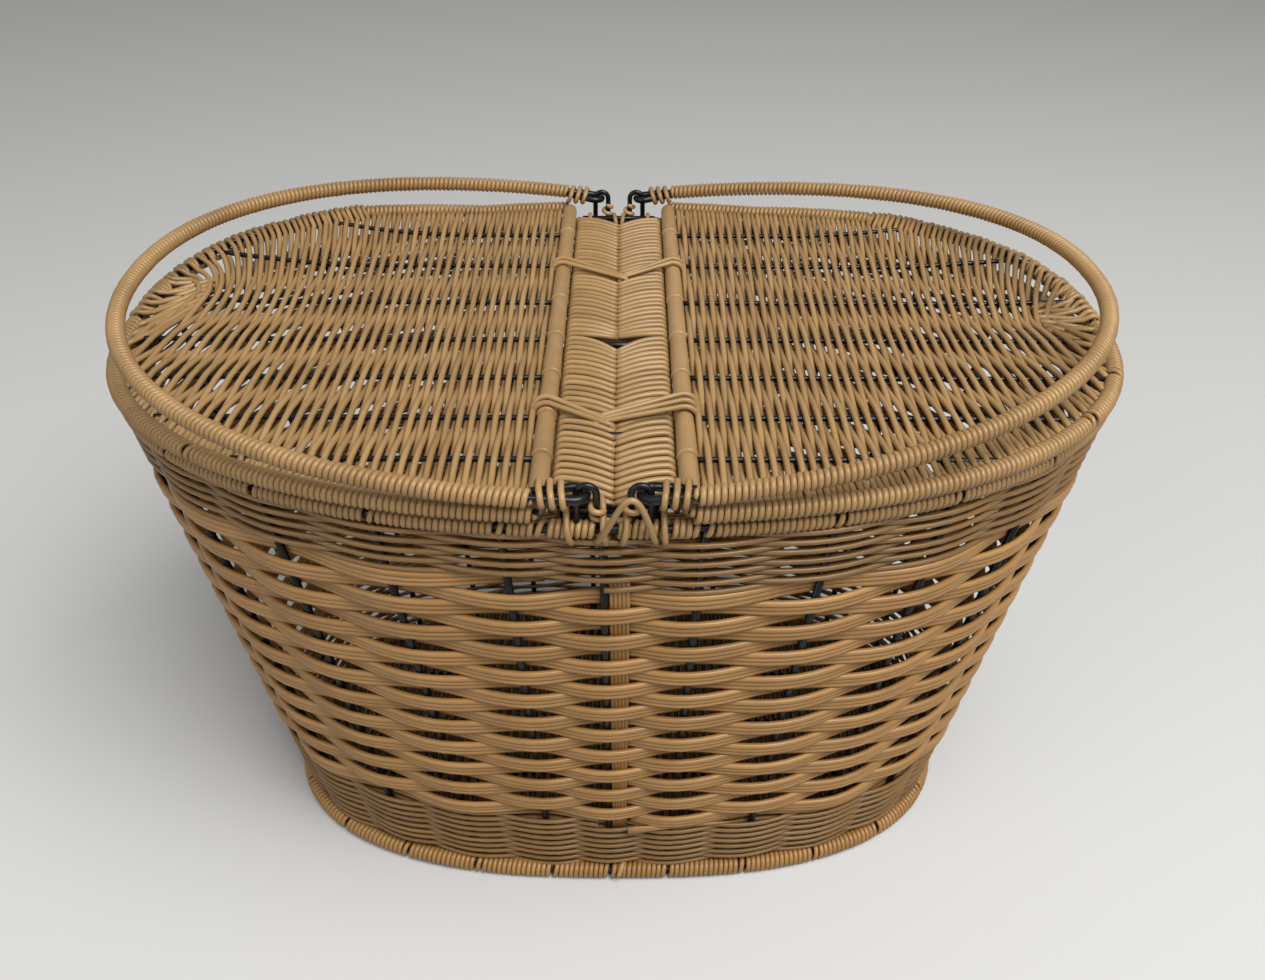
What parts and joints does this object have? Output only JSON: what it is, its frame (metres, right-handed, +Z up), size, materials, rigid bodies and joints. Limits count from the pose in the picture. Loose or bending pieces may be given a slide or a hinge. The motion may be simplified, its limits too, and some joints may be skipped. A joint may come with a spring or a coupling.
{
  "type": "picnic basket",
  "caption": "Oval flared picnic basket woven of round cane on a wire frame, with hinged half lids either side of a centre strip and swinging carry handles that lie over the lids.",
  "frame": {"origin": "middle of the base on the surface that the basket stands on", "axes": "+X along the length, towards the right lid; +Y to the rear; +Z up"},
  "size_m": [0.4634, 0.3362, 0.2896],
  "materials": {
    "cane": "satin caramel-brown round plastic cane",
    "wire": "black coated steel wire, semi-gloss"
  },
  "bodies": {
    "basket": {"body_frame": "wire", "strip_frame": "wire", "base_binding": "cane", "rim_binding": "cane", "floor_mat": "cane", "lower_weave": "cane", "main_weave": "cane", "upper_weave": "cane", "strip_mat": "cane", "left_front_hinge_tie": "cane", "left_front_rim_tie": "cane", "left_front_arch": "wire", "left_rear_hinge_tie": "cane", "left_rear_rim_tie": "cane", "left_rear_arch": "wire", "right_front_hinge_tie": "cane", "right_front_rim_tie": "cane", "right_front_arch": "wire", "right_rear_hinge_tie": "cane", "right_rear_rim_tie": "cane", "right_rear_arch": "wire"},
    "left_lid": {"left_lid_frame": "wire", "left_lid_binding": "cane", "left_hinge_tube": "cane", "left_lid_mat": "cane"},
    "right_lid": {"right_lid_frame": "wire", "right_lid_binding": "cane", "right_hinge_tube": "cane", "right_lid_mat": "cane"},
    "left_handle": {"left_handle_wire": "wire", "left_handle_binding": "cane", "left_front_lashing": "cane", "left_rear_lashing": "cane"},
    "right_handle": {"right_handle_wire": "wire", "right_handle_binding": "cane", "right_front_lashing": "cane", "right_rear_lashing": "cane"}
  },
  "joints": [
    {"name": "left_lid_hinge", "type": "hinge", "parent": "basket", "child": "left_lid", "pos_m": [-0.0285, 0, 0.258], "axis": [0, 1, 0], "range_deg": [0, 90]},
    {"name": "right_lid_hinge", "type": "hinge", "parent": "basket", "child": "right_lid", "pos_m": [0.0285, 0, 0.258], "axis": [0, -1, 0], "range_deg": [0, 90]},
    {"name": "left_handle_swing", "type": "hinge", "parent": "basket", "child": "left_handle", "pos_m": [-0.01, 0, 0.265], "axis": [0, 1, 0], "range_deg": [0, 82]},
    {"name": "right_handle_swing", "type": "hinge", "parent": "basket", "child": "right_handle", "pos_m": [0.01, 0, 0.265], "axis": [0, -1, 0], "range_deg": [0, 82]}
  ],
  "couplings": [
    {"joint": "left_handle_swing", "follows": "left_lid_hinge", "ratio": 0.91},
    {"joint": "right_handle_swing", "follows": "right_lid_hinge", "ratio": 0.91}
  ]
}
